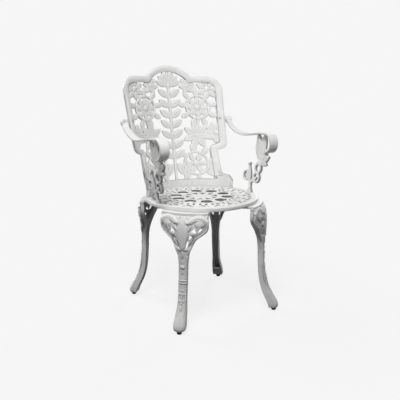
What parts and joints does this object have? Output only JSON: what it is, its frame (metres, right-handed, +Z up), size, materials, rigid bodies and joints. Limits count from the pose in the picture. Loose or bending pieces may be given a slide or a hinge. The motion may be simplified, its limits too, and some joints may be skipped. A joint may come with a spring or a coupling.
{
  "type": "garden armchair",
  "caption": "Cast metal garden armchair with a round pierced seat, a curved pierced back, scrolled arms and cabriole legs on levelling glides.",
  "frame": {"origin": "on the floor, under the middle of the chair's bounding box", "axes": "+Z up, the sitter looks along -Y, +X is to the right as seen from the front"},
  "size_m": [0.4884, 0.5105, 0.896],
  "materials": {
    "white_powder_coat": "satin",
    "stainless_steel": "satin",
    "black_nylon": "matte"
  },
  "bodies": {
    "frame": {"seat_panel": "white_powder_coat", "back_panel": "white_powder_coat", "left_arm": "white_powder_coat", "right_arm": "white_powder_coat", "front_left_leg": "white_powder_coat", "front_right_leg": "white_powder_coat", "rear_left_leg": "white_powder_coat", "rear_right_leg": "white_powder_coat", "front_left_leg_bolts": "stainless_steel", "front_left_leg_washers": "stainless_steel", "front_right_leg_bolts": "stainless_steel", "front_right_leg_washers": "stainless_steel", "rear_left_leg_bolts": "stainless_steel", "rear_left_leg_washers": "stainless_steel", "rear_right_leg_bolts": "stainless_steel", "rear_right_leg_washers": "stainless_steel", "back_centre_bolts": "stainless_steel", "back_centre_washers": "stainless_steel", "left_arm_foot_bolt": "stainless_steel", "left_arm_foot_washer": "stainless_steel", "left_rail_bolt": "stainless_steel", "left_rail_washer": "stainless_steel", "left_rail_nut": "stainless_steel", "right_arm_foot_bolt": "stainless_steel", "right_arm_foot_washer": "stainless_steel", "right_rail_bolt": "stainless_steel", "right_rail_washer": "stainless_steel", "right_rail_nut": "stainless_steel"},
    "front_left_pad": {"front_left_glide_pad": "black_nylon"},
    "front_left_stud": {"front_left_glide_stud": "stainless_steel"},
    "front_right_pad": {"front_right_glide_pad": "black_nylon"},
    "front_right_stud": {"front_right_glide_stud": "stainless_steel"},
    "rear_left_pad": {"rear_left_glide_pad": "black_nylon"},
    "rear_left_stud": {"rear_left_glide_stud": "stainless_steel"},
    "rear_right_pad": {"rear_right_glide_pad": "black_nylon"},
    "rear_right_stud": {"rear_right_glide_stud": "stainless_steel"}
  },
  "joints": [
    {"name": "front_left_level", "type": "slide", "parent": "frame", "child": "front_left_pad", "axis": [0, 0, -1], "range_m": [0, 0.01]},
    {"name": "front_left_screw", "type": "hinge", "parent": "front_left_pad", "child": "front_left_stud", "pos_m": [-0.1987, -0.23645, 0.02], "axis": [0, 0, -1], "range_deg": [0, 2881]},
    {"name": "front_right_level", "type": "slide", "parent": "frame", "child": "front_right_pad", "axis": [0, 0, -1], "range_m": [0, 0.01]},
    {"name": "front_right_screw", "type": "hinge", "parent": "front_right_pad", "child": "front_right_stud", "pos_m": [0.1987, -0.23645, 0.02], "axis": [0, 0, -1], "range_deg": [0, 2881]},
    {"name": "rear_left_level", "type": "slide", "parent": "frame", "child": "rear_left_pad", "axis": [0, 0, -1], "range_m": [0, 0.01]},
    {"name": "rear_left_screw", "type": "hinge", "parent": "rear_left_pad", "child": "rear_left_stud", "pos_m": [-0.1987, 0.16094, 0.02], "axis": [0, 0, -1], "range_deg": [0, 2881]},
    {"name": "rear_right_level", "type": "slide", "parent": "frame", "child": "rear_right_pad", "axis": [0, 0, -1], "range_m": [0, 0.01]},
    {"name": "rear_right_screw", "type": "hinge", "parent": "rear_right_pad", "child": "rear_right_stud", "pos_m": [0.1987, 0.16094, 0.02], "axis": [0, 0, -1], "range_deg": [0, 2881]}
  ],
  "couplings": [
    {"joint": "front_left_screw", "follows": "front_left_level", "rad_per_m": 5026.5},
    {"joint": "front_right_screw", "follows": "front_right_level", "rad_per_m": 5026.5},
    {"joint": "rear_left_screw", "follows": "rear_left_level", "rad_per_m": 5026.5},
    {"joint": "rear_right_screw", "follows": "rear_right_level", "rad_per_m": 5026.5}
  ]
}
